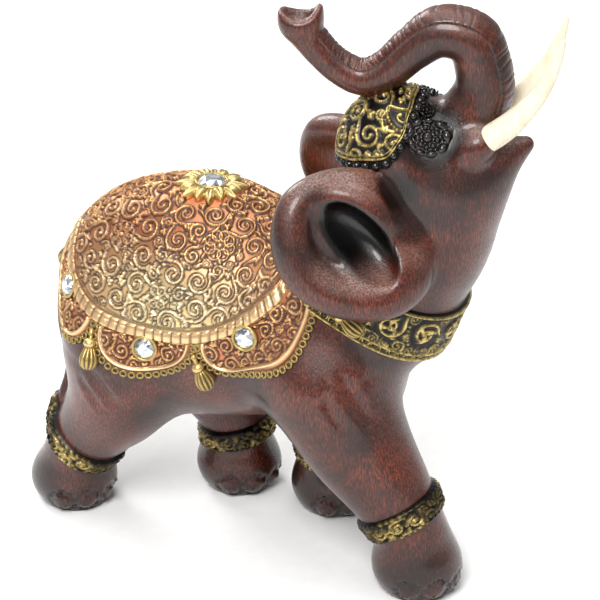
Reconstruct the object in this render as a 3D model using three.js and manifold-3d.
// Cast-resin elephant: a walking elephant with its trunk raised over its brow, dressed in a scalloped
// saddle cloth, headdress, collar and anklets, with two pressed-in tusks and seven set rhinestones.
// Millimetres, +Z up. It faces +X, its right side faces -Y, and Z = 0 is the floor under its soles.
import * as THREE from "three";
import { mergeVertices } from "three/addons/utils/BufferGeometryUtils.js";
import Module from "manifold-3d";

// Driving dimensions of the figure. Its places further down are given on a master figure
// MASTER_HEIGHT tall, and `share` brings them to the height wanted.
const HEIGHT = 147;
const MASTER_HEIGHT = 147;

// Tusks and rhinestones are glued in, so each seat is wider and deeper than its piece by GLUE_GAP.
const GLUE_GAP = 0.3;
const TUSK_ROOT_DIAMETER = 6.2;
const TUSK_TIP_DIAMETER = 1.3;
const TUSK_LENGTH = 28.5;
const TUSK_SOCKET_DEPTH = 4.5;
const BACK_STONE_DIAMETER = 7.2;
const SIDE_STONE_DIAMETER = 5.3;
const STONE_CROWN = 1.3;
const STONE_SEAT_DEPTH = 1.9;
const BEZEL_WIDTH = 0.9;
const BEZEL_RISE = 0.9;

// How far each dressed part stands out of the hide.
const CLOTH_RISE = 0.9;
const BAND_RISE = 1.7;
const PIPING_RISE = 1.5;
const COLLAR_RISE = 0.9;
const HEADDRESS_RISE = 1.0;
const ANKLET_RISE = 1.0;
const NAIL_RISE = 0.7;
const BAND_WIDTH = 2.9;
const PIPING_WIDTH = 2.4;
const ANKLET_WIDTH = 6.4;
const TASSEL_DIAMETER = 4.8;
const TASSEL_LENGTH = 6.6;
const PETAL_LENGTH = 4.2;
const PETAL_RISE = 0.9;

// The cell of the grid that the casting's skin is taken from, and the facets it is reduced to.
const SKIN_CELL = 1.2;
const SKIN_FACETS = 7900;

const MAHOGANY = 0x5a3024;
const IVORY = 0xe6ddc6;
const CRYSTAL = 0xdfe3e6;

const share = HEIGHT / MASTER_HEIGHT;
const RADIANS = Math.PI / 180;

// The head is turned to the elephant's left about an upright axis through the neck.
const HEAD_TURN = 18 * RADIANS;
const HEAD_PIVOT = 25;

// A place on the head: u forward, v to the left and z up, before the head is turned.
function onHead([u, v, z, ...rest]) {
  const x = HEAD_PIVOT + u * Math.cos(HEAD_TURN) - v * Math.sin(HEAD_TURN);
  const y = u * Math.sin(HEAD_TURN) + v * Math.cos(HEAD_TURN);
  return [x, y, z, ...rest];
}

const mirrored = ([x, y, z, ...rest]) => [x, -y, z, ...rest];

// A mass is a signed distance, negative inside, with a ball that holds it, so far ones are skipped.
function mass(centre, reach, distance) {
  return { centre, reach, distance };
}

// An egg: an ellipsoid whose axes are turned by `turns`, in degrees about x, y and z.
function egg(place, radii, turns = [0, 0, 0]) {
  const centre = place.map((value) => value * share);
  const [rx, ry, rz] = radii.map((value) => value * share);
  const euler = new THREE.Euler(...turns.map((value) => value * RADIANS), "ZYX");
  const m = new THREE.Matrix4().makeRotationFromEuler(euler).elements;
  return mass(centre, Math.max(rx, ry, rz), (x, y, z) => {
    const dx = x - centre[0];
    const dy = y - centre[1];
    const dz = z - centre[2];
    const a = (m[0] * dx + m[1] * dy + m[2] * dz) / rx;
    const b = (m[4] * dx + m[5] * dy + m[6] * dz) / ry;
    const c = (m[8] * dx + m[9] * dy + m[10] * dz) / rz;
    const near = Math.sqrt(a * a + b * b + c * c);
    const slope = Math.sqrt((a / rx) ** 2 + (b / ry) ** 2 + (c / rz) ** 2);
    return slope < 1e-9 ? -Math.min(rx, ry, rz) : (near * (near - 1)) / slope;
  });
}

// A limb: a round tube through stations [x, y, z, radius] on a smooth curve.
const LIMB_STEPS = 8;
function limb(stations, closed = false) {
  const scaled = stations.map((station) => station.map((value) => value * share));
  const path = new THREE.CatmullRomCurve3(
    scaled.map(([x, y, z]) => new THREE.Vector3(x, y, z)), closed, "catmullrom", 0.5);
  const girth = new THREE.CatmullRomCurve3(
    scaled.map((station) => new THREE.Vector3(station[3], 0, 0)), closed, "catmullrom", 0.5);
  const count = (stations.length - (closed ? 0 : 1)) * LIMB_STEPS;
  const nodes = [];
  for (let i = 0; i <= count; i += 1) {
    const p = path.getPoint(i / count);
    nodes.push([p.x, p.y, p.z, girth.getPoint(i / count).x]);
  }
  const box = new THREE.Box3().setFromPoints(nodes.map(([x, y, z]) => new THREE.Vector3(x, y, z)));
  const ball = box.getBoundingSphere(new THREE.Sphere());
  const reach = ball.radius + Math.max(...nodes.map((node) => node[3]));
  return mass(ball.center.toArray(), reach, (x, y, z) => {
    let best = Infinity;
    for (let i = 0; i < count; i += 1) {
      const a = nodes[i];
      const b = nodes[i + 1];
      const ex = b[0] - a[0];
      const ey = b[1] - a[1];
      const ez = b[2] - a[2];
      const along = (x - a[0]) * ex + (y - a[1]) * ey + (z - a[2]) * ez;
      const t = Math.min(1, Math.max(0, along / (ex * ex + ey * ey + ez * ez)));
      const dx = x - a[0] - ex * t;
      const dy = y - a[1] - ey * t;
      const dz = z - a[2] - ez * t;
      const gap = Math.sqrt(dx * dx + dy * dy + dz * dz) - a[3] - (b[3] - a[3]) * t;
      best = Math.min(best, gap);
    }
    return best;
  });
}

// Two distances joined, with a fillet about `soft` wide.
function blend(a, b, soft) {
  const near = Math.max(soft - Math.abs(a - b), 0) / soft;
  return Math.min(a, b) - near * near * soft * 0.25;
}

// Masses joined one after another, each with its own fillet.
function joined(parts) {
  return (x, y, z) => {
    let value = Infinity;
    for (const [part, soft] of parts) {
      const [cx, cy, cz] = part.centre;
      const far = Math.sqrt((x - cx) ** 2 + (y - cy) ** 2 + (z - cz) ** 2) - part.reach;
      if (far > value + soft) continue;
      value = blend(value, part.distance(x, y, z), soft * share);
    }
    return value;
  };
}

// Legs, feet, trunk, ears and tail, in master millimetres: stations are [x, y, z, radius].
const LEGS = {
  right_front: [[12, -11, 52, 16], [20.5, -12, 38, 13], [28.8, -12, 27, 10.4], [34, -11.4, 18, 9],
    [36, -10.5, 10, 9.6]],
  right_hind: [[-41.4, -11.5, 49, 17], [-44.2, -12.4, 37, 13.8], [-50, -12.6, 28, 10.8],
    [-56.8, -11.6, 18.5, 9], [-59.9, -10.8, 10, 9.4]],
  left_front: [[9, 11, 50, 15], [8, 12.8, 36, 12], [3.4, 14.2, 25, 9.8], [0.9, 15.2, 16, 8.6],
    [1, 15.7, 10, 9.2]],
  left_hind: [[-40, 11.5, 48, 16.5], [-34, 12.4, 36, 13], [-27.2, 13.2, 25, 10], [-25.4, 14, 16, 8.6],
    [-25.8, 14.6, 10, 9.2]],
};
const FEET = {
  right_front: [36.2, -10.2, 6.5],
  right_hind: [-60.9, -10.6, 6.5],
  left_front: [1.6, 15.8, 6.5],
  left_hind: [-25.6, 14.8, 6.5],
};
const FOOT_RADII = [11.2, 10.5, 8.8];
const ANKLE_DROP = 4.5; // how far each leg runs on into its foot
const FLOOR_STUB = 2; // the feet are carried this far below the floor, and cut off flat at it
const TRUNK = [[6, 0, 104, 12.2], [12.2, 0, 113, 9.8], [16.6, 0, 120.6, 7.6], [19, 0, 127.4, 6.7],
  [18, 0, 134.2, 6.3], [15.6, 0, 138.8, 6.2], [8.8, 0, 140, 5.8], [2.6, 0, 135.6, 5],
  [-2.8, 0, 130.4, 4.5], [-8.6, 0, 128, 4.2], [-14, 0, 130, 3.9], [-18.4, 0, 133.8, 3.8],
  [-21.6, 0, 137.8, 4.1], [-23.2, 0, 140.6, 4.9]];
const TRUNK_MOUTH = [-24, 0, 144.4];
const LOWER_LIP = [[12, 0, 100, 11.4], [18.4, 0, 106.2, 8], [24.8, 0, 110.8, 4.4], [29, 0, 113.6, 2]];
const EAR_RIM = [[-6, -13, 106.6, 3.4], [-13.6, -15.8, 107.8, 3.7], [-20.8, -20.8, 105, 4],
  [-22, -24, 97, 4.8], [-18.6, -25.5, 89.5, 5], [-10.5, -26, 84.4, 4.8], [-0.5, -23, 82.8, 4.5],
  [5.6, -18, 85.8, 4], [5, -14.5, 92, 3.4], [-0.6, -13.5, 100.4, 3.2]];
const TAIL = [[-62, 0, 63, 3], [-65.8, -1, 57, 2.3], [-66, -3, 47, 2], [-61.8, -7, 37, 2],
  [-61.6, -10.5, 29, 2.8], [-64.4, -13, 21, 1.5]];
const TOE_ANGLES = [-78, -39, 0, 39, 78];
const NAIL_RADII = [1.6, 3, 3.1];

const HIDE_PARTS = [
  [egg([-26, 0, 61], [37, 24.6, 30.5]), 1],
  [egg([-43, 0, 57], [19, 21.5, 25]), 8],
  [egg([5, 0, 61], [24, 21, 22.5]), 10],
  [limb([[6, 0, 70, 18], [23.5, 1, 81, 17.8], [31, 3.4, 91, 16.2], [33.8, 3.8, 102, 13.8]]), 7],
  [egg([25, 0, 69], [13.4, 14.5, 13.4]), 7],
  [egg(onHead([0.6, 0, 110.8]), [14.2, 12.6, 14.4], [0, -20, 18]), 5],
  [egg(onHead([11, 0, 105]), [13, 12.4, 12]), 6],
  [limb(LOWER_LIP.map(onHead)), 4.5],
  [limb(TRUNK.map(onHead)), 3],
  ...Object.values(LEGS).map((stations) => {
    const [x, y, z, radius] = stations.at(-1);
    return [limb([...stations, [x, y, z - ANKLE_DROP, radius - 1]]), 7];
  }),
  ...Object.values(FEET).map((place) => [egg(place, FOOT_RADII), 3]),
  [limb(TAIL), 2],
];
const NAIL_PARTS = Object.values(FEET).flatMap(([x, y, z]) => TOE_ANGLES.map((angle) => {
  const out = FOOT_RADII[0] * 0.92 - NAIL_RADII[0] + NAIL_RISE / share;
  const place = [x + out * Math.cos(angle * RADIANS), y + out * Math.sin(angle * RADIANS), z - 2.6];
  return [egg(place, NAIL_RADII, [0, 14, angle]), 0.9];
}));
const EAR_PARTS = [1, -1].flatMap((side) => {
  const place = (point) => onHead(side > 0 ? point : mirrored(point));
  return [
    [limb(EAR_RIM.map(place), true), 3],
    [egg(place([-8, -18.5, 96]), [9, 4.5, 13], [0, 0, 18]), 4],
    [egg(place([-2, -20, 88.5]), [8.5, 5.5, 6.5], [0, 0, 18]), 4],
    [egg(place([-13, -18.5, 99]), [8, 4, 9], [0, 0, 18]), 3],
  ];
});
const EAR_BOWLS = [1, -1].map((side) => {
  const place = (point) => onHead(side > 0 ? point : mirrored(point));
  return egg(place([-6.5, -24.5, 97]), [5.4, 9, 11.5], [0, -42, 18]);
});
const MOUTH_HOLLOW = limb([[19, 0, 113.8, 2.2], [25, 0, 116.6, 2.2], [33, 0, 121, 3]].map(onHead));
const TRUNK_HOLLOW = egg(onHead(TRUNK_MOUTH), [3.4, 3.2, 4.4], [0, -30, 18]);

const hideAndLimbs = joined(HIDE_PARTS);
const ears = joined(EAR_PARTS);
const nails = joined(NAIL_PARTS);

// One hollow cut from a distance, with its edge softened.
const cut = (value, part, x, y, z, soft) => -blend(-value, part.distance(x, y, z), soft);

// The bare elephant, without its dress.
function hide(x, y, z) {
  let value = blend(hideAndLimbs(x, y, z), ears(x, y, z), 2.5 * share);
  for (const bowl of EAR_BOWLS) value = cut(value, bowl, x, y, z, 2 * share);
  value = cut(value, MOUTH_HOLLOW, x, y, z, share);
  value = cut(value, TRUNK_HOLLOW, x, y, z, share);
  return blend(value, nails(x, y, z), 0.8 * share);
}

// A smooth step from 0 at `low` to 1 at `high`.
function step(low, high, value) {
  const t = Math.min(1, Math.max(0, (value - low) / (high - low)));
  return t * t * (3 - 2 * t);
}

// A rounded ridge `width` wide about 0, and 1 high.
const ridge = (value, width) => Math.max(0, 1 - ((2 * value) / width) ** 2);

// A cloth or band starts over this distance from its outline.
const HEM = 0.8;

// The saddle cloth is laid out about the middle of the barrel: `turn` goes round from the front, and
// `dip` down from the top, both in degrees on an ellipsoid close to the hide.
const BARREL_CENTRE = [-27, 0, 57].map((value) => value * share);
const BARREL_RADII = [40, 25, 29].map((value) => value * share);
function onBarrel(x, y, z) {
  const a = (x - BARREL_CENTRE[0]) / BARREL_RADII[0];
  const b = (y - BARREL_CENTRE[1]) / BARREL_RADII[1];
  const c = (z - BARREL_CENTRE[2]) / BARREL_RADII[2];
  const out = Math.max(1e-9, Math.sqrt(a * a + b * b + c * c));
  return [Math.atan2(b, a) / RADIANS, Math.acos(c / out) / RADIANS, out];
}
function barrelWay(turn, dip) {
  const [rx, ry, rz] = BARREL_RADII;
  const flat = Math.sin(dip * RADIANS);
  return [rx * flat * Math.cos(turn * RADIANS), ry * flat * Math.sin(turn * RADIANS),
    rz * Math.cos(dip * RADIANS)];
}
const CLOTH_REACH = 1.24; // the cloth ends this far out, in shares of the barrel's radii

// Millimetres for one degree of turn at the cloth's edge, and for one of dip.
const turnLength = (turn) => RADIANS
  * Math.hypot(BARREL_RADII[0] * Math.sin(turn * RADIANS), BARREL_RADII[1] * Math.cos(turn * RADIANS));
const DIP_LENGTH = BARREL_RADII[2] * RADIANS;

// The dip of the cloth's inner edge, where the ribbed band starts: waves of one to six round the barrel.
const CLOTH_WAVES = [59.8, -4, -18.3, 0.3, 1.4, 0.3, 1.9];
function clothDip(turn) {
  return CLOTH_WAVES.reduce((dip, wave, count) => dip + wave * Math.cos(count * turn * RADIANS), 0);
}

// Scalloped lobes below the band on each side: where they start and end, and how far they hang.
const LOBES = [
  { from: 35, to: 75, depth: 11 },
  { from: 75, to: 112, depth: 9.6 },
  { from: 112, to: 164, depth: 11 },
].map((lobe) => ({ ...lobe, depth: lobe.depth * share }));

// How far a place is inside the lobe that hangs there, in mm; negative outside it.
function insideLobe(turn, dip) {
  let best = -Infinity;
  for (const { from, to, depth } of LOBES) {
    const middle = (from + to) / 2;
    const half = ((to - from) / 2) * turnLength(middle);
    const a = (turn - middle) * turnLength(middle);
    const b = (dip - clothDip(turn)) * DIP_LENGTH - BAND_WIDTH;
    if (b < -BAND_WIDTH) continue;
    const near = Math.sqrt((a / half) ** 2 + (b / depth) ** 2);
    const slope = Math.sqrt((a / half ** 2) ** 2 + (b / depth ** 2) ** 2);
    best = Math.max(best, slope < 1e-9 ? half : (near * (1 - near)) / slope);
  }
  return best;
}

function saddleCloth(x, y, z) {
  const [signed, dip, out] = onBarrel(x, y, z);
  if (out > CLOTH_REACH) return 0;
  const turn = Math.abs(signed);
  const below = (dip - clothDip(turn)) * DIP_LENGTH;
  const lobe = insideLobe(turn, dip);
  const cloth = Math.max(step(-HEM, 0, -below), step(0, HEM, lobe)) * CLOTH_RISE;
  const band = BAND_RISE * ridge(below - BAND_WIDTH / 2, BAND_WIDTH);
  const piping = below > 0 ? PIPING_RISE * ridge(lobe - PIPING_WIDTH / 2, PIPING_WIDTH) : 0;
  return Math.max(cloth, band, piping);
}

// The collar lies between two planes across the neck, and has a raised rim along each of them.
const COLLAR_NORMAL = [0.476, 0, 0.879];
const COLLAR_LOWER = 70.5 * share;
const COLLAR_UPPER = 83 * share;
const COLLAR_REAR = 6 * share;
const COLLAR_RIM = 2.4;
function collar(x, y, z) {
  const along = COLLAR_NORMAL[0] * x + COLLAR_NORMAL[2] * z;
  const front = step(COLLAR_REAR - HEM, COLLAR_REAR + HEM, x);
  const cloth = COLLAR_RISE * step(0, HEM, along - COLLAR_LOWER) * step(0, HEM, COLLAR_UPPER - along);
  const low = PIPING_RISE * ridge(along - COLLAR_LOWER - COLLAR_RIM / 2, COLLAR_RIM);
  return front * Math.max(cloth, low);
}

// The headdress covers the crown, back from a line between the eyes and down to a line above the ears.
const HEADDRESS_FRONT = { u: 5.5, z: 118.5, slope: [0.76, -0.65] };
const HEADDRESS_BOTTOM = 109;
const HEADDRESS_TOP = 125.5;
const HEADDRESS_HALF_WIDTH = 14.5;
const HEADDRESS_RIM = 2.2;
function headdress(x, y, z) {
  const dx = x - HEAD_PIVOT * share;
  const u = dx * Math.cos(HEAD_TURN) + y * Math.sin(HEAD_TURN);
  const v = y * Math.cos(HEAD_TURN) - dx * Math.sin(HEAD_TURN);
  if (Math.abs(v) > HEADDRESS_HALF_WIDTH * share) return 0;
  const { slope } = HEADDRESS_FRONT;
  const behind = (HEADDRESS_FRONT.u * share - u) * slope[0] + (HEADDRESS_FRONT.z * share - z) * slope[1];
  const above = z - HEADDRESS_BOTTOM * share;
  const inside = Math.min(behind, above);
  if (inside < -HEM) return 0;
  const belowTrunk = step(HEADDRESS_TOP * share, (HEADDRESS_TOP - 1.5) * share, z);
  return belowTrunk * Math.max(HEADDRESS_RISE * step(0, HEM, inside),
    PIPING_RISE * ridge(inside - HEADDRESS_RIM / 2, HEADDRESS_RIM));
}

// Anklets are bands about the legs: a place on the leg and the leg's direction there.
const ANKLETS = Object.values(LEGS).map((stations) => {
  const [lower, upper] = [stations.at(-2), stations.at(-3)];
  const way = [0, 1, 2].map((axis) => upper[axis] - lower[axis]);
  const length = Math.hypot(...way);
  return {
    centre: lower.slice(0, 3).map((value) => value * share),
    way: way.map((value) => value / length),
    reach: lower[3] * 1.5 * share,
  };
});
function anklets(x, y, z) {
  for (const { centre, way, reach } of ANKLETS) {
    const d = [x - centre[0], y - centre[1], z - centre[2]];
    const along = d[0] * way[0] + d[1] * way[1] + d[2] * way[2];
    const across = Math.hypot(d[0] - along * way[0], d[1] - along * way[1], d[2] - along * way[2]);
    if (across > reach || Math.abs(along) > ANKLET_WIDTH) continue;
    return ANKLET_RISE * step(0, HEM, ANKLET_WIDTH / 2 - Math.abs(along));
  }
  return 0;
}

// How far the dress stands out of the hide at a place near it.
const dressRise = (x, y, z) => Math.max(saddleCloth(x, y, z), collar(x, y, z), headdress(x, y, z),
  anklets(x, y, z));

// The unit vector straight out of a surface, felt for over FEEL mm each way.
const FEEL = 0.4;
function outward(distance, [x, y, z]) {
  return new THREE.Vector3(
    distance(x + FEEL, y, z) - distance(x - FEEL, y, z),
    distance(x, y + FEEL, z) - distance(x, y - FEEL, z),
    distance(x, y, z + FEEL) - distance(x, y, z - FEEL)).normalize();
}

// The place where a ray from `start` along `way` leaves the hide.
function leaves(start, way) {
  let [inner, outer] = [0, 2];
  for (let i = 0; i < 30; i += 1) {
    const t = (inner + outer) / 2;
    const place = start.map((value, axis) => value + way[axis] * t);
    if (hide(...place) < 0) inner = t;
    else outer = t;
  }
  return start.map((value, axis) => value + way[axis] * inner);
}

// Rhinestones: where each sits on the barrel, and its diameter.
const STONES = [{ name: "rhinestone_back", turn: 0, dip: 3, diameter: BACK_STONE_DIAMETER }];
for (const [side, sign] of [["right", -1], ["left", 1]]) {
  for (const [place, turn, dip] of [["front", 57, 75], ["middle", 94, 88], ["rear", 132, 72]]) {
    const name = `rhinestone_${side}_${place}`;
    STONES.push({ name, turn: sign * turn, dip, diameter: SIDE_STONE_DIAMETER });
  }
}
for (const stone of STONES) {
  const foot = leaves(BARREL_CENTRE, barrelWay(stone.turn, stone.dip));
  stone.way = outward(hide, foot);
  stone.place = new THREE.Vector3(...foot).addScaledVector(stone.way, CLOTH_RISE);
}

// Tassels hang on the hide below the points where lobes meet: where each is knotted.
const TASSELS = [[32, 66, 55], [-32, 66, 55], [74, 93, 20], [-74, 93, 20], [111, 90, 5], [-111, 90, 5],
  [180, 70, 0]];
const tassels = joined(TASSELS.flatMap(([turn, dip, lean]) => {
  const foot = leaves(BARREL_CENTRE, barrelWay(turn, dip));
  const out = outward(hide, foot);
  const forward = new THREE.Vector3(Math.sin(lean * RADIANS), 0, -Math.cos(lean * RADIANS));
  const down = forward.addScaledVector(out, -forward.dot(out)).normalize();
  const at = (along, up, radius) => new THREE.Vector3(...foot).addScaledVector(down, along)
    .addScaledVector(out, up).toArray().map((value) => value / share).concat(radius / share);
  const thick = TASSEL_DIAMETER / 2;
  return [
    [limb([at(-2.4, 0.6, 0.7), at(0, 0.9, thick * 0.55), at(0.6, 0.9, thick * 0.55)]), 0.4],
    [limb([at(1.2, 0.6, thick * 0.5), at(TASSEL_LENGTH * 0.5, 0.8, thick),
      at(TASSEL_LENGTH * 0.8, 0.7, thick * 0.8), at(TASSEL_LENGTH, 0.5, thick * 0.5)]), 0.4],
  ];
}));

// Each stone has a raised bezel, and the one on the back lies in a flower of petals as well.
const PETALS = 8;
function settings(x, y, z) {
  for (const stone of STONES) {
    const reach = stone.diameter / 2 + GLUE_GAP + BEZEL_WIDTH;
    const d = [x - stone.place.x, y - stone.place.y, z - stone.place.z];
    const square = d[0] ** 2 + d[1] ** 2 + d[2] ** 2;
    if (square > (reach + HEM) ** 2) continue;
    const up = d[0] * stone.way.x + d[1] * stone.way.y + d[2] * stone.way.z;
    const across = Math.sqrt(Math.max(0, square - up * up));
    return CLOTH_RISE + BEZEL_RISE * step(reach + HEM / 2, reach - HEM / 2, across);
  }
  return 0;
}
const petals = joined(Array.from({ length: PETALS }, (_, k) => {
  const [stone] = STONES;
  const angle = ((k + 0.5) / PETALS) * 2 * Math.PI;
  const side = new THREE.Vector3(0, 1, 0).cross(stone.way).normalize();
  const reach = stone.diameter / 2 + GLUE_GAP + BEZEL_WIDTH + PETAL_LENGTH * 0.42;
  const centre = stone.place.clone().addScaledVector(side, reach * Math.cos(angle))
    .addScaledVector(stone.way.clone().cross(side), reach * Math.sin(angle));
  const foot = centre.toArray();
  const lift = -hide(...foot) + CLOTH_RISE * 0.5;
  const place = centre.addScaledVector(stone.way, lift).toArray().map((value) => value / share);
  const radii = [PETAL_LENGTH / 2, PETAL_LENGTH * 0.34, PETAL_RISE + CLOTH_RISE / 2];
  return [egg(place, radii.map((value) => value / share), [0, 0, angle / RADIANS]), 0.3];
}));

// The dressed casting. The dress only matters near the hide, so it is left out elsewhere.
const DRESS_REACH = 12;
function casting(x, y, z) {
  const value = hide(x, y, z);
  if (Math.abs(value) > DRESS_REACH) return Math.max(value, -z - FLOOR_STUB);
  const dressed = value - Math.max(dressRise(x, y, z), settings(x, y, z));
  const added = Math.min(blend(dressed, tassels(x, y, z), 0.6), petals(x, y, z));
  return Math.max(added, -z - FLOOR_STUB);
}

// The casting's skin as triangles: the grid's cells are split in six tetrahedra each, and the
// surface passes between their inner and outer corners.
const TETRAHEDRA = [[1, 3, 7, 1], [1, 5, 7, -1], [2, 3, 7, -1], [2, 6, 7, 1], [4, 5, 7, 1],
  [4, 6, 7, -1]];
const PAIRS = { 3: [0, 1, 2, 3], 5: [0, 2, 3, 1], 9: [0, 3, 1, 2], 6: [1, 2, 0, 3], 10: [1, 3, 2, 0],
  12: [2, 3, 0, 1] };
const SINGLES = { 1: [0, 1, 2, 3], 2: [1, 0, 3, 2], 4: [2, 3, 0, 1], 8: [3, 2, 1, 0] };
const BLOCK = 4;
const BLOCK_MARGIN = 4; // mm that a block of cells is kept for beyond its own corners

function skinOf(distance, low, high, cell) {
  const size = [0, 1, 2].map((axis) => Math.ceil((high[axis] - low[axis]) / cell / BLOCK) * BLOCK + 1);
  const step = [1, size[0], size[0] * size[1]];
  const offset = Array.from({ length: 8 }, (_, k) =>
    (k & 1) * step[0] + ((k >> 1) & 1) * step[1] + (k >> 2) * step[2]);
  const values = new Float32Array(size[0] * size[1] * size[2]).fill(NaN);
  const valueAt = (index) => {
    if (Number.isNaN(values[index])) {
      const i = index % size[0];
      const j = Math.floor(index / step[1]) % size[1];
      const k = Math.floor(index / step[2]);
      values[index] = distance(low[0] + i * cell, low[1] + j * cell, low[2] + k * cell) || 1e-6;
    }
    return values[index];
  };
  const points = [];
  const triangles = [];
  const made = new Map();
  const crossing = (base, a, b) => {
    const [from, to] = a < b ? [a, b] : [b, a];
    const start = base + offset[from];
    const key = start * 8 + (to - from);
    if (!made.has(key)) {
      const p = valueAt(start);
      const q = valueAt(base + offset[to]);
      const t = Math.min(0.95, Math.max(0.05, p / (p - q)));
      const i = start % size[0];
      const j = Math.floor(start / step[1]) % size[1];
      const k = Math.floor(start / step[2]);
      const way = to - from;
      made.set(key, points.length);
      points.push([
        low[0] + (i + (way & 1) * t) * cell,
        low[1] + (j + ((way >> 1) & 1) * t) * cell,
        low[2] + (k + (way >> 2) * t) * cell,
      ]);
    }
    return made.get(key);
  };
  const walkCell = (base) => {
    for (const [b, c, d, hand] of TETRAHEDRA) {
      const corner = hand > 0 ? [0, b, c, d] : [0, c, b, d];
      let inside = 0;
      corner.forEach((k, n) => {
        if (valueAt(base + offset[k]) < 0) inside |= 1 << n;
      });
      if (inside === 0 || inside === 15) continue;
      const edge = (order, m, n) => crossing(base, corner[order[m]], corner[order[n]]);
      if (PAIRS[inside]) {
        const order = PAIRS[inside];
        const quad = [edge(order, 0, 2), edge(order, 0, 3), edge(order, 1, 3), edge(order, 1, 2)];
        triangles.push([quad[0], quad[1], quad[2]], [quad[0], quad[2], quad[3]]);
        continue;
      }
      const order = SINGLES[inside] ?? SINGLES[15 - inside];
      const fan = [edge(order, 0, 1), edge(order, 0, 2), edge(order, 0, 3)];
      triangles.push(SINGLES[inside] ? fan : [fan[0], fan[2], fan[1]]);
    }
  };
  const half = (cell * BLOCK) / 2;
  const skip = half * Math.sqrt(3) + BLOCK_MARGIN;
  for (let k = 0; k < size[2] - 1; k += BLOCK) {
    for (let j = 0; j < size[1] - 1; j += BLOCK) {
      for (let i = 0; i < size[0] - 1; i += BLOCK) {
        const middle = [i, j, k].map((n, axis) => low[axis] + n * cell + half);
        if (Math.abs(distance(...middle)) > skip) continue;
        for (let n = 0; n < BLOCK ** 3; n += 1) {
          const ci = i + (n % BLOCK);
          const cj = j + (Math.floor(n / BLOCK) % BLOCK);
          const ck = k + Math.floor(n / BLOCK ** 2);
          walkCell(ci + cj * step[1] + ck * step[2]);
        }
      }
    }
  }
  return { points, triangles };
}

// Fewer facets: edges are folded up cheapest first, by the squared distance of the new corner from
// the planes of the faces that met there. A fold that would pinch the skin or turn a face is refused.
const TURN_LIMIT = 0.1;
const SHORT_FIRST = 1e-4; // of two folds that cost the same, the shorter goes first
const SLIVER = 0.08; // the least height of a face, as a share of its longest side

function longestSquare([p, q, r]) {
  const a = (p[0] - q[0]) ** 2 + (p[1] - q[1]) ** 2 + (p[2] - q[2]) ** 2;
  const b = (q[0] - r[0]) ** 2 + (q[1] - r[1]) ** 2 + (q[2] - r[2]) ** 2;
  const c = (r[0] - p[0]) ** 2 + (r[1] - p[1]) ** 2 + (r[2] - p[2]) ** 2;
  return Math.max(a, b, c);
}

function crossProduct([p, q, r]) {
  const u = [q[0] - p[0], q[1] - p[1], q[2] - p[2]];
  const v = [r[0] - p[0], r[1] - p[1], r[2] - p[2]];
  return [u[1] * v[2] - u[2] * v[1], u[2] * v[0] - u[0] * v[2], u[0] * v[1] - u[1] * v[0]];
}

function planeError(corners) {
  const n = crossProduct(corners);
  const area = Math.sqrt(n[0] ** 2 + n[1] ** 2 + n[2] ** 2) || 1e-12;
  const [a, b, c] = n.map((value) => value / area);
  const d = -(a * corners[0][0] + b * corners[0][1] + c * corners[0][2]);
  return [a * a, a * b, a * c, a * d, b * b, b * c, b * d, c * c, c * d, d * d]
    .map((value) => value * area);
}

function errorAt(e, [x, y, z]) {
  return e[0] * x * x + 2 * e[1] * x * y + 2 * e[2] * x * z + 2 * e[3] * x + e[4] * y * y
    + 2 * e[5] * y * z + 2 * e[6] * y + e[7] * z * z + 2 * e[8] * z + e[9];
}

// The place of least error, or null where the planes are too nearly parallel to fix one.
function leastError(e) {
  const c00 = e[4] * e[7] - e[5] * e[5];
  const c01 = e[2] * e[5] - e[1] * e[7];
  const c02 = e[1] * e[5] - e[2] * e[4];
  const det = e[0] * c00 + e[1] * c01 + e[2] * c02;
  const size = e[0] + e[4] + e[7];
  if (det < 1e-4 * size ** 3) return null;
  const c11 = e[0] * e[7] - e[2] * e[2];
  const c12 = e[1] * e[2] - e[0] * e[5];
  const c22 = e[0] * e[4] - e[1] * e[1];
  return [
    -(c00 * e[3] + c01 * e[6] + c02 * e[8]) / det,
    -(c01 * e[3] + c11 * e[6] + c12 * e[8]) / det,
    -(c02 * e[3] + c12 * e[6] + c22 * e[8]) / det,
  ];
}

// A queue that gives back the fold of least cost first.
class FoldQueue {
  items = [];

  push(item) {
    const { items } = this;
    let i = items.length;
    items.push(item);
    while (i > 0) {
      const up = (i - 1) >> 1;
      if (items[up].cost <= item.cost) break;
      items[i] = items[up];
      i = up;
    }
    items[i] = item;
  }

  pop() {
    const { items } = this;
    const first = items[0];
    const last = items.pop();
    if (items.length === 0) return first;
    let i = 0;
    for (;;) {
      let down = 2 * i + 1;
      if (down >= items.length) break;
      if (down + 1 < items.length && items[down + 1].cost < items[down].cost) down += 1;
      if (items[down].cost >= last.cost) break;
      items[i] = items[down];
      i = down;
    }
    items[i] = last;
    return first;
  }
}

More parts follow.
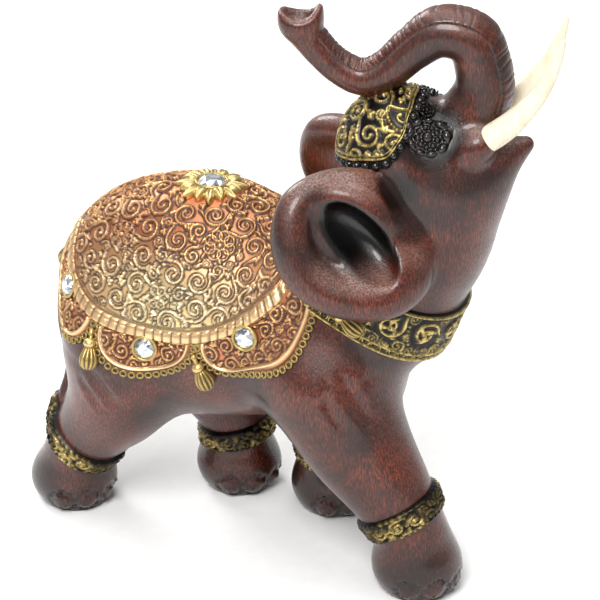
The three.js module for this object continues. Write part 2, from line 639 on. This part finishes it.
function reduced({ points, triangles }, wanted) {
  const faces = triangles.slice();
  const around = points.map(() => new Set());
  const errors = points.map(() => new Float64Array(10));
  faces.forEach((face, index) => {
    const error = planeError(face.map((corner) => points[corner]));
    for (const corner of face) {
      around[corner].add(index);
      for (let k = 0; k < 10; k += 1) errors[corner][k] += error[k];
    }
  });
  const stamp = new Uint32Array(points.length);
  const queue = new FoldQueue();
  const neighbours = (corner) => {
    const found = new Set();
    for (const index of around[corner]) for (const other of faces[index]) found.add(other);
    found.delete(corner);
    return found;
  };
  const offer = (a, b) => {
    const [p, q] = [points[a], points[b]];
    const error = errors[a].map((value, k) => value + errors[b][k]);
    const middle = [(p[0] + q[0]) / 2, (p[1] + q[1]) / 2, (p[2] + q[2]) / 2];
    const square = (p[0] - q[0]) ** 2 + (p[1] - q[1]) ** 2 + (p[2] - q[2]) ** 2;
    const fixed = leastError(error);
    let place = middle;
    if (fixed && Math.hypot(...fixed.map((value, axis) => value - middle[axis])) ** 2 < square) {
      place = fixed;
    } else {
      if (errorAt(error, p) < errorAt(error, place)) place = p;
      if (errorAt(error, q) < errorAt(error, place)) place = q;
    }
    const cost = Math.max(0, errorAt(error, place)) + SHORT_FIRST * square;
    queue.push({ a, b, place, cost, ageA: stamp[a], ageB: stamp[b] });
  };
  const turns = (corner, other, place) => {
    for (const index of around[corner]) {
      const face = faces[index];
      if (face.includes(other)) continue;
      const before = face.map((k) => points[k]);
      const after = face.map((k) => (k === corner ? place : points[k]));
      const m = crossProduct(before);
      const n = crossProduct(after);
      const [oldSize, newSize] = [Math.hypot(...m), Math.hypot(...n)];
      const [oldShape, newShape] = [oldSize / longestSquare(before), newSize / longestSquare(after)];
      if (newShape < SLIVER && newShape < oldShape) return true;
      if (m[0] * n[0] + m[1] * n[1] + m[2] * n[2] < TURN_LIMIT * newSize * oldSize) return true;
    }
    return false;
  };
  faces.forEach((face) => {
    for (let k = 0; k < 3; k += 1) if (face[k] < face[(k + 1) % 3]) offer(face[k], face[(k + 1) % 3]);
  });
  let left = faces.length;
  while (left > wanted && queue.items.length > 0) {
    const { a, b, place, ageA, ageB } = queue.pop();
    if (!around[a] || !around[b] || stamp[a] !== ageA || stamp[b] !== ageB) continue;
    const nearA = neighbours(a);
    if (!nearA.has(b)) continue;
    let common = 0;
    for (const other of neighbours(b)) if (nearA.has(other)) common += 1;
    if (common !== 2 || turns(a, b, place) || turns(b, a, place)) continue;
    for (const index of around[b]) {
      if (faces[index].includes(a)) {
        for (const corner of faces[index]) around[corner].delete(index);
        faces[index] = null;
        left -= 1;
      } else {
        faces[index] = faces[index].map((corner) => (corner === b ? a : corner));
        around[a].add(index);
      }
    }
    around[b] = null;
    points[a] = place;
    for (let k = 0; k < 10; k += 1) errors[a][k] += errors[b][k];
    stamp[a] += 1;
    for (const other of neighbours(a)) offer(a, other);
  }
  return { points, triangles: faces.filter(Boolean) };
}

const wasm = await Module();
wasm.setup();

function solidOf(geometry) {
  const bare = geometry.clone();
  bare.deleteAttribute("normal");
  bare.deleteAttribute("uv");
  const merged = mergeVertices(bare, 1e-4);
  return new wasm.Manifold(new wasm.Mesh({
    numProp: 3,
    vertProperties: merged.getAttribute("position").array,
    triVerts: new Uint32Array(merged.index.array),
  }));
}

function geometryOf(solid) {
  const { vertProperties, triVerts } = solid.getMesh();
  const geometry = new THREE.BufferGeometry();
  geometry.setAttribute("position", new THREE.Float32BufferAttribute(vertProperties, 3));
  geometry.setIndex(Array.from(triVerts));
  return geometry;
}

// A round bar along a curve, with a radius for each share of its length and closed ends.
const TUSK_SIDES = 10;
function taperedBar(path, radiusAt, rings) {
  const frames = path.computeFrenetFrames(rings);
  const positions = [];
  const index = [];
  for (let i = 0; i <= rings; i += 1) {
    const centre = path.getPointAt(i / rings);
    for (let k = 0; k < TUSK_SIDES; k += 1) {
      const angle = (2 * Math.PI * k) / TUSK_SIDES;
      const radius = radiusAt(i / rings);
      positions.push(centre.clone()
        .addScaledVector(frames.normals[i], radius * Math.cos(angle))
        .addScaledVector(frames.binormals[i], radius * Math.sin(angle)));
    }
  }
  for (let i = 0; i < rings; i += 1) {
    for (let k = 0; k < TUSK_SIDES; k += 1) {
      const [a, b] = [i * TUSK_SIDES + k, i * TUSK_SIDES + ((k + 1) % TUSK_SIDES)];
      index.push(a, b, b + TUSK_SIDES, a, b + TUSK_SIDES, a + TUSK_SIDES);
    }
  }
  const last = rings * TUSK_SIDES;
  for (let k = 1; k < TUSK_SIDES - 1; k += 1) {
    index.push(0, k + 1, k, last, last + k, last + k + 1);
  }
  const geometry = new THREE.BufferGeometry().setFromPoints(positions);
  geometry.setIndex(index);
  return geometry;
}

// A tusk leaves its socket forwards and sweeps up: TUSK_RISE is its slope, TUSK_BOW how far the
// bend of its curve lies below a straight line, as a share of its length.
const TUSK_RISE = 57.6 * RADIANS;
const TUSK_BOW = 0.2;
const TUSK_ROOT = [21.5, 7.6, 118.1];
const TUSK_RINGS = 9;
const HEAD_FORWARD = new THREE.Vector3(Math.cos(HEAD_TURN), Math.sin(HEAD_TURN), 0);
const UP = new THREE.Vector3(0, 0, 1);

// A tusk, or with `grow` the hollow that takes it: the tusk swollen by that much all round.
function tuskBar(side, grow) {
  const [u, v, z] = TUSK_ROOT;
  const root = new THREE.Vector3(...onHead([u, side * v, z])).multiplyScalar(share);
  const chord = HEAD_FORWARD.clone().multiplyScalar(Math.cos(TUSK_RISE))
    .addScaledVector(UP, Math.sin(TUSK_RISE));
  const sag = HEAD_FORWARD.clone().multiplyScalar(Math.sin(TUSK_RISE))
    .addScaledVector(UP, -Math.cos(TUSK_RISE));
  const bend = root.clone().addScaledVector(chord, TUSK_LENGTH / 2)
    .addScaledVector(sag, TUSK_BOW * TUSK_LENGTH);
  const tip = root.clone().addScaledVector(chord, TUSK_LENGTH + grow);
  const inward = root.clone().sub(bend).normalize();
  const depth = TUSK_SOCKET_DEPTH - GLUE_GAP + grow;
  const path = new THREE.CurvePath();
  path.add(new THREE.LineCurve3(root.clone().addScaledVector(inward, depth), root));
  path.add(new THREE.QuadraticBezierCurve3(root, bend, tip));
  const inSocket = depth / path.getLength();
  const radiusAt = (t) => {
    const out = Math.max(0, (t - inSocket) / (1 - inSocket));
    return (TUSK_ROOT_DIAMETER + (TUSK_TIP_DIAMETER - TUSK_ROOT_DIAMETER) * out ** 1.4) / 2 + grow;
  };
  return taperedBar(path, radiusAt, TUSK_RINGS);
}

// A stone stands with its axis along its seat's way out: a flat back, a girdle and a faceted crown.
const STONE_SIDES = 8;
const GIRDLE_LOW = -0.3;
const GIRDLE_HIGH = 0.15;
function stoneGeometry(diameter) {
  const radius = diameter / 2;
  const profile = [[0, GLUE_GAP - STONE_SEAT_DEPTH], [radius * 0.6, GLUE_GAP - STONE_SEAT_DEPTH],
    [radius, GIRDLE_LOW], [radius, GIRDLE_HIGH], [radius * 0.8, STONE_CROWN * 0.66],
    [radius * 0.5, STONE_CROWN], [0, STONE_CROWN]];
  return new THREE.LatheGeometry(profile.map(([x, y]) => new THREE.Vector2(x, y)), STONE_SIDES);
}
const SEAT_OVERSHOOT = 5; // the cut for a seat runs on this far out of the casting
function stoneSeat(diameter) {
  const radius = diameter / 2 + GLUE_GAP;
  const height = STONE_SEAT_DEPTH + SEAT_OVERSHOOT;
  const seat = new THREE.CylinderGeometry(radius, radius, height, 2 * STONE_SIDES);
  return seat.translate(0, height / 2 - STONE_SEAT_DEPTH, 0);
}
function setOn(geometry, stone) {
  const turn = new THREE.Quaternion().setFromUnitVectors(new THREE.Vector3(0, 1, 0), stone.way);
  return geometry.applyQuaternion(turn).translate(...stone.place.toArray());
}

const span = (low, high) => [low, high].map((corner) => corner.map((value) => value * share));
const [LOW, HIGH] = span([-80, -36, -2 * FLOOR_STUB], [66, 38, 151]);
const skin = reduced(skinOf(casting, LOW, HIGH, SKIN_CELL * share), SKIN_FACETS);
const skinGeometry = new THREE.BufferGeometry();
const used = [...new Set(skin.triangles.flat())];
const renumbered = new Map(used.map((corner, index) => [corner, index]));
skinGeometry.setAttribute("position",
  new THREE.Float32BufferAttribute(used.flatMap((corner) => skin.points[corner]), 3));
skinGeometry.setIndex(skin.triangles.flat().map((corner) => renumbered.get(corner)));

const FLOOR_BLOCK = 4 * HEIGHT;
const underFloor = new THREE.BoxGeometry(FLOOR_BLOCK, FLOOR_BLOCK, FLOOR_BLOCK);
underFloor.translate(0, 0, -FLOOR_BLOCK / 2);
let cast = solidOf(skinGeometry).subtract(solidOf(underFloor));
for (const side of [-1, 1]) cast = cast.subtract(solidOf(tuskBar(side, GLUE_GAP)));
for (const stone of STONES) cast = cast.subtract(solidOf(setOn(stoneSeat(stone.diameter), stone)));

const figure = new THREE.Group();
function addPiece(name, geometry, color, roughness, metalness) {
  const material = new THREE.MeshStandardMaterial({ color, roughness, metalness });
  const piece = new THREE.Mesh(geometry, material);
  piece.name = name;
  figure.add(piece);
}
addPiece("elephant", geometryOf(cast), MAHOGANY, 0.42, 0);
addPiece("tusk_right", tuskBar(-1, 0), IVORY, 0.3, 0);
addPiece("tusk_left", tuskBar(1, 0), IVORY, 0.3, 0);
for (const stone of STONES) {
  addPiece(stone.name, setOn(stoneGeometry(stone.diameter), stone), CRYSTAL, 0.08, 0.2);
}

// The part's origin is on the floor, under the middle of the whole figure.
const box = new THREE.Box3().setFromObject(figure);
figure.position.set(-(box.min.x + box.max.x) / 2, -(box.min.y + box.max.y) / 2, 0);

export default figure;
